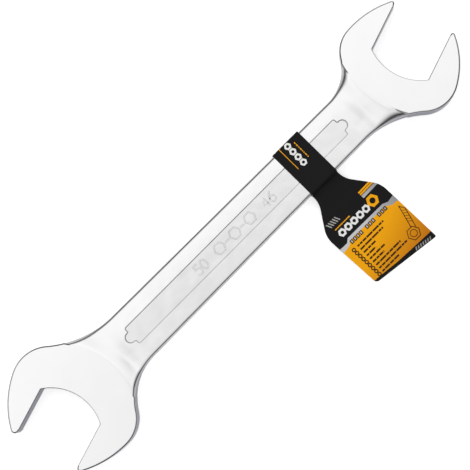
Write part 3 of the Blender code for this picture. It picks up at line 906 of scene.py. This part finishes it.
def field(top, bottom, left=-1.0):
    """Strips that fill the leaf between two lines, out to its own edges or from a place at the left."""
    low = max(min(point.x for point in leaf_edge) + 1e-6, left)
    high = max(point.x for point in leaf_edge) - 1e-6
    count = ceil((high - low) / STRIP_WIDTH)
    columns = [low + (high - low) * i / count for i in range(count + 1)]
    edges = []
    for across in columns:
        start, end = leaf_span(across)
        edges.append((max(value_at(top, across), start), min(value_at(bottom, across), end)))
    shapes = []
    for i in range(count):
        (a, b), (c, d) = edges[i], edges[i + 1]
        if b - a > 1e-6 and d - c > 1e-6:
            shapes.append([(columns[i], a), (columns[i + 1], c), (columns[i + 1], d), (columns[i], b)])
    return shapes


def bar(across, down, length, height, slant=0.0):
    """A bar from its left end's middle, its top leaning across by slant."""
    return [(across + slant, down - height / 2), (across + length + slant, down - height / 2),
            (across + length, down + height / 2), (across, down + height / 2)]


def hexagon(across, down, width):
    """Corners of a hexagon that is width over its flats."""
    return oval(across, down, width / sqrt(3), width / sqrt(3), range(0, 360, 60))


def nut(across, down, width, hole):
    """A nut seen along its thread: a hexagon round a round hole, as quads."""
    outer = []
    corners = hexagon(across, down, width)
    for (a, b), (c, d) in zip(corners, corners[1:] + corners[:1]):
        outer += [(a, b), (a + (c - a) / 2, b + (d - b) / 2)]
    inner = oval(across, down, hole / 2, hole / 2, range(0, 360, 30))
    return [[outer[i], outer[(i + 1) % 12], inner[(i + 1) % 12], inner[i]] for i in range(12)]


def stroke(points, width):
    """A line of ink of one width through (across, down) points."""
    shapes = []
    for (a, b), (c, d) in zip(points, points[1:]):
        length = sqrt((c - a) ** 2 + (d - b) ** 2)
        x, y = (c - a) / length * width / 2, (d - b) / length * width / 2
        shapes.append([(a - x + y, b - y - x), (c + x + y, d + y - x), (c + x - y, d + y + x),
                       (a - x - y, b - y + x)])
    return shapes


def dashes(across, down, length, height, longest):
    """A row of bars of uneven length with even gaps between them."""
    shapes = []
    end = across + length
    while across < end:
        dash = min(dice.uniform(0.3, 1.0) * longest, end - across)
        shapes.append(bar(across, down, dash, height))
        across += dash + 0.36 * height
    return shapes


dice = random.Random(46)
orange = printed_ink("orange_offset_ink", "#FFB004", "#C26A0A", slant=radians(-70.0))
silver = printed_ink("silver_offset_ink", "#D2D2D4", "#86878B", roughness=0.36)
grey = printed_ink("grey_offset_ink", "#B4B2AE", "#8F8D8A")
white = printed_ink("white_offset_ink", "#F4F4F2", "#E2E2E0")
brown = printed_ink("brown_offset_ink", "#472C10", "#3A220C")

# The orange field over the lower half of the leaf, with the silver band along its top
silver_top = [(-0.0300, 0.0410), (-0.0190, 0.0414), (-0.0160, 0.0390), (0.0195, 0.0394), (0.0235, 0.0412),
              (0.0330, 0.0398)]
field_top = [(-0.0300, 0.0452), (-0.0190, 0.0440), (-0.0160, 0.0415), (0.0195, 0.0420), (0.0240, 0.0448),
             (0.0330, 0.0458)]
field_foot = [(-0.0300, 0.0742), (-0.0180, 0.0752), (-0.0020, 0.0770), (0.0330, 0.0786)]
print_film("print_orange_field", field(field_top, field_foot), orange, "tag_flag")
print_film("print_silver_band", field(silver_top, field_top), silver, "tag_flag")

# Five grey slashes on the left shoulder and seven that climb along the foot
slashes = [bar(-0.0192 + 0.0021 * i, 0.0234, length=0.0009, height=0.0042, slant=-0.0019) for i in range(5)]
slashes += [bar(0.0128 + 0.0021 * i, 0.0799 + 0.0003 * i, length=0.0010, height=0.0021, slant=0.0013)
            for i in range(7)]
print_film("print_grey_slashes", slashes, grey, "tag_flag")

# Two orange stripes and a silver one on the right shoulder, from here out to the edge
STRIPES_LEFT = 0.0128
stripes = []
for down in (0.0208, 0.0225):
    stripes += field([(0.0, down + 0.0004), (0.0330, down - 0.0004)],
                     [(0.0, down + 0.0017), (0.0330, down + 0.0009)], left=STRIPES_LEFT)
print_film("print_orange_stripes", stripes, orange, "tag_flag")
silver_stripe = field([(0.0, 0.0247), (0.0330, 0.0240)],
                      [(0.0, 0.0271), (0.0330, 0.0263)], left=STRIPES_LEFT)
print_film("print_silver_stripe", silver_stripe, silver, "tag_flag")

# A row of white nuts and a larger orange one on the black field, under a short row of dashes
nuts = []
for i in range(5):
    nuts += nut(-0.0158 + 0.0061 * i, 0.0334, width=0.0057, hole=0.0026)
print_film("print_white_nuts", nuts, white, "tag_flag")
print_film("print_orange_nut", nut(0.0162, 0.0325, width=0.0086, hole=0.0046), orange, "tag_flag")
short_row = dashes(-0.0185, 0.0286, length=0.0150, height=0.0008, longest=0.0022)
print_film("print_orange_dashes", short_row, orange, "tag_flag")

# Dark brown on the orange: three groups of blocks with silver hearts, and rows of dashes behind hexagons
BLOCKS_DOWN = 0.0431
ROWS_DOWN = 0.0484
ROW_STEP = 0.0032
ROW_LENGTHS = (0.0265, 0.0230, 0.0120, 0.0090, 0.0150, 0.0115, 0.0250, 0.0285, 0.0170)
blocks = [-0.0168 + 0.0031 * i for i in range(12) if i not in (4, 8)]
brown_shapes = [bar(across, BLOCKS_DOWN, length=0.0026, height=0.0032) for across in blocks]
hearts = [bar(across + 0.0008, BLOCKS_DOWN, length=0.0010, height=0.0017) for across in blocks]
hexagon_hearts = []
for i, length in enumerate(ROW_LENGTHS):
    across, down = -0.0190 + 0.0001 * i, ROWS_DOWN + ROW_STEP * i
    brown_shapes += dashes(-0.0152, down, length, height=0.0014, longest=0.0066)
    brown_shapes.append(hexagon(across, down, width=0.0031))
    hexagon_hearts.append(hexagon(across, down, width=0.0014))

# A bolt in outline beside the rows: its hexagon head with a ring in it, both sides and the end of its
# shank, and five turns of thread
bolt_place = (0.0206, 0.0706)
bolt_head = hexagon(*bolt_place, width=0.0090)
bolt_ring = oval(*bolt_place, 0.0027, 0.0027, [22.5 * i for i in range(17)])
brown_shapes += stroke(bolt_head + bolt_head[:1], 0.0006)
brown_shapes += stroke(bolt_ring, 0.0005)
for ends in (((0.0268, 0.0490), (0.0222, 0.0662)), ((0.0291, 0.0535), (0.0251, 0.0682)),
             ((0.0266, 0.0490), (0.0293, 0.0536))):
    brown_shapes += stroke(ends, 0.0006)
for i in range(5):
    turn = [(0.0260 - 0.0006 * i, 0.0524 + 0.0022 * i), (0.0285 - 0.0006 * i, 0.0546 + 0.0022 * i)]
    brown_shapes += stroke(turn, 0.0004)
print_film("print_brown_marks", brown_shapes, brown, "tag_flag", coats=2)
print_film("print_title_fills", hearts, silver, "tag_flag", coats=3)
print_film("print_bullet_fills", hexagon_hearts, orange, "tag_flag", coats=3)

# On the band the marks run along it: white nuts, with an orange rule on one side and dashes on the other
first_flat = next(i for i, point in enumerate(path) if point.y > LOOP_TOP - 1e-7)


def on_band(y):
    """How far down from the front crease a place on top of the band lies."""
    return PATH_START - reached[first_flat] - (y - path[first_flat].x)


band_nuts = []
for i in range(4):
    band_nuts += nut(0.0002, on_band(0.0172 - 0.0054 * i), width=0.0050, hole=0.0023)
print_film("print_band_nuts", band_nuts, white, "tag_sleeve")
RULE_LENGTH = 0.0200
band_lines = [bar(-0.0062, (on_band(0.0) + on_band(RULE_LENGTH)) / 2, length=0.0005, height=RULE_LENGTH)]
y = 0.0160
while y > 0.0020:
    dash = dice.uniform(0.0008, 0.0022)
    band_lines.append(bar(0.0052, on_band(y - dash / 2), length=0.0008, height=dash))
    y -= dash + 0.0006
print_film("print_band_lines", band_lines, orange, "tag_sleeve")


# Floor
# A sheet of white paper under the wrench. Its own colour takes the object's shadow, and a little glow lifts
# the open floor to white for the eye and for the chrome that mirrors it.

FLOOR_HALF = 4.0
FLOOR_GLOW = 0.58


def white_paper_floor():
    """Plain white paper, matt, with a glow that lights nothing but is seen directly and in mirrors."""
    material, tree, shader = new_material("white_paper_floor")
    feed(shader, {"Base Color": linear("#EDEDED"), "Roughness": 0.9})
    rays = add(tree, "ShaderNodeLightPath").outputs
    seen = add(tree, MATH, {0: rays["Is Camera Ray"], 1: rays["Is Glossy Ray"]}, operation="MAXIMUM")
    seen = add(tree, MATH, {0: seen, 1: rays["Is Transmission Ray"]}, operation="MAXIMUM")
    lift = add(tree, MATH, {0: seen, 1: FLOOR_GLOW}, operation="MULTIPLY")
    glow = add(tree, "ShaderNodeEmission", {"Strength": lift})
    both = add(tree, "ShaderNodeAddShader", {0: shader, 1: glow})
    feed(tree.nodes["Material Output"], {"Surface": both})
    return material


floor_mesh = bpy.data.meshes.new("floor")
floor_corners = [(FLOOR_HALF * x, FLOOR_HALF * y, 0) for x, y in ((-1, -1), (1, -1), (1, 1), (-1, 1))]
floor_mesh.from_pydata(floor_corners, [], [(0, 1, 2, 3)])
floor_mesh.materials.append(white_paper_floor())
put_in_scene("floor", floor_mesh)


# Light and camera
# A pale dome round the set and one wide soft lamp behind the wrench, seen from above as in the photograph.

# How bright the dome is, as (degrees down from overhead, brightness). A white ceiling, a dark ring halfway
# down that draws the dark lines on the bevels, and pale walls under it.
DOME = ((0, 0.90), (3, 0.92), (8, 1.02), (13, 1.09), (18, 1.05), (23, 0.92), (28, 0.74), (34, 0.48),
        (40, 0.18), (44, 0.06), (49, 0.06), (54, 0.28), (60, 0.54), (70, 0.64), (90, 0.66))
# A curve's values stay within 0 to 1, so it holds half of each, and the strength is higher for it
DOME_STRENGTH = 2.6

world = bpy.data.worlds.new("studio_air")
bpy.context.scene.world = world
world.use_nodes = True
air = world.node_tree
way = add(air, "ShaderNodeSeparateXYZ", {0: add(air, "ShaderNodeTexCoord").outputs["Generated"]}).outputs
from_top = add(air, MATH, {0: way["Z"]}, operation="ARCCOSINE")
down_share = add(air, REMAP, {"Value": from_top, "From Max": pi / 2})
dome = add(air, "ShaderNodeFloatCurve", {"Value": down_share})
curve = dome.mapping.curves[0]
curve.points[0].location = (0.0, DOME[0][1] / 2)
curve.points[1].location = (1.0, DOME[-1][1] / 2)
for degrees_down, brightness in DOME[1:-1]:
    curve.points.new(degrees_down / 90, brightness / 2)
dome.mapping.update()
# The ceiling is brighter on the side of the lamp
lamp_side = add(air, REMAP, {"Value": way["Y"], "From Min": -0.25, "From Max": 0.25, "To Min": 0.89,
                             "To Max": 1.12}, interpolation_type="SMOOTHSTEP")
even_light = add(air, MATH, {0: dome, 1: DOME_STRENGTH}, operation="MULTIPLY")
strength = add(air, MATH, {0: even_light, 1: lamp_side}, operation="MULTIPLY")
feed(air.nodes["Background"], {"Strength": strength, "Color": linear("#FFFFFF")})

softbox = bpy.data.lights.new("softbox", "AREA")
softbox.shape = "SQUARE"
softbox.size = 1.0
softbox.energy = 8.0
lamp = put_in_scene("softbox", softbox)
lamp.location = (HEAD_TO_MIDDLE, 1.25, 1.35)
aim = Vector((HEAD_TO_MIDDLE, 0.0, 0.0)) - lamp.location
lamp.rotation_euler = aim.to_track_quat("-Z", "Y").to_euler()
# The plate mirrors the ceiling alone, so the lamp leaves no hard glint on it
lamp.visible_glossy = False

view = bpy.data.cameras.new("camera")
view.sensor_width = 36.0
view.lens = 118.97
camera = put_in_scene("camera", view)
# The shank runs up to the right in the picture, so the camera's upright lies between +X and +Y
eye = Vector((0.1303, -0.1105, 1.1365))
target = Vector((0.14613, -0.00136, 0.0165))
back = (eye - target).normalized()
right = Vector((1.0, 1.0, 0.0)).normalized().cross(back).normalized()
upward = back.cross(right)
camera.matrix_world = Matrix.Translation(eye) @ Matrix((right, upward, back)).transposed().to_4x4()
bpy.context.scene.camera = camera
bpy.context.scene.view_settings.view_transform = "Standard"
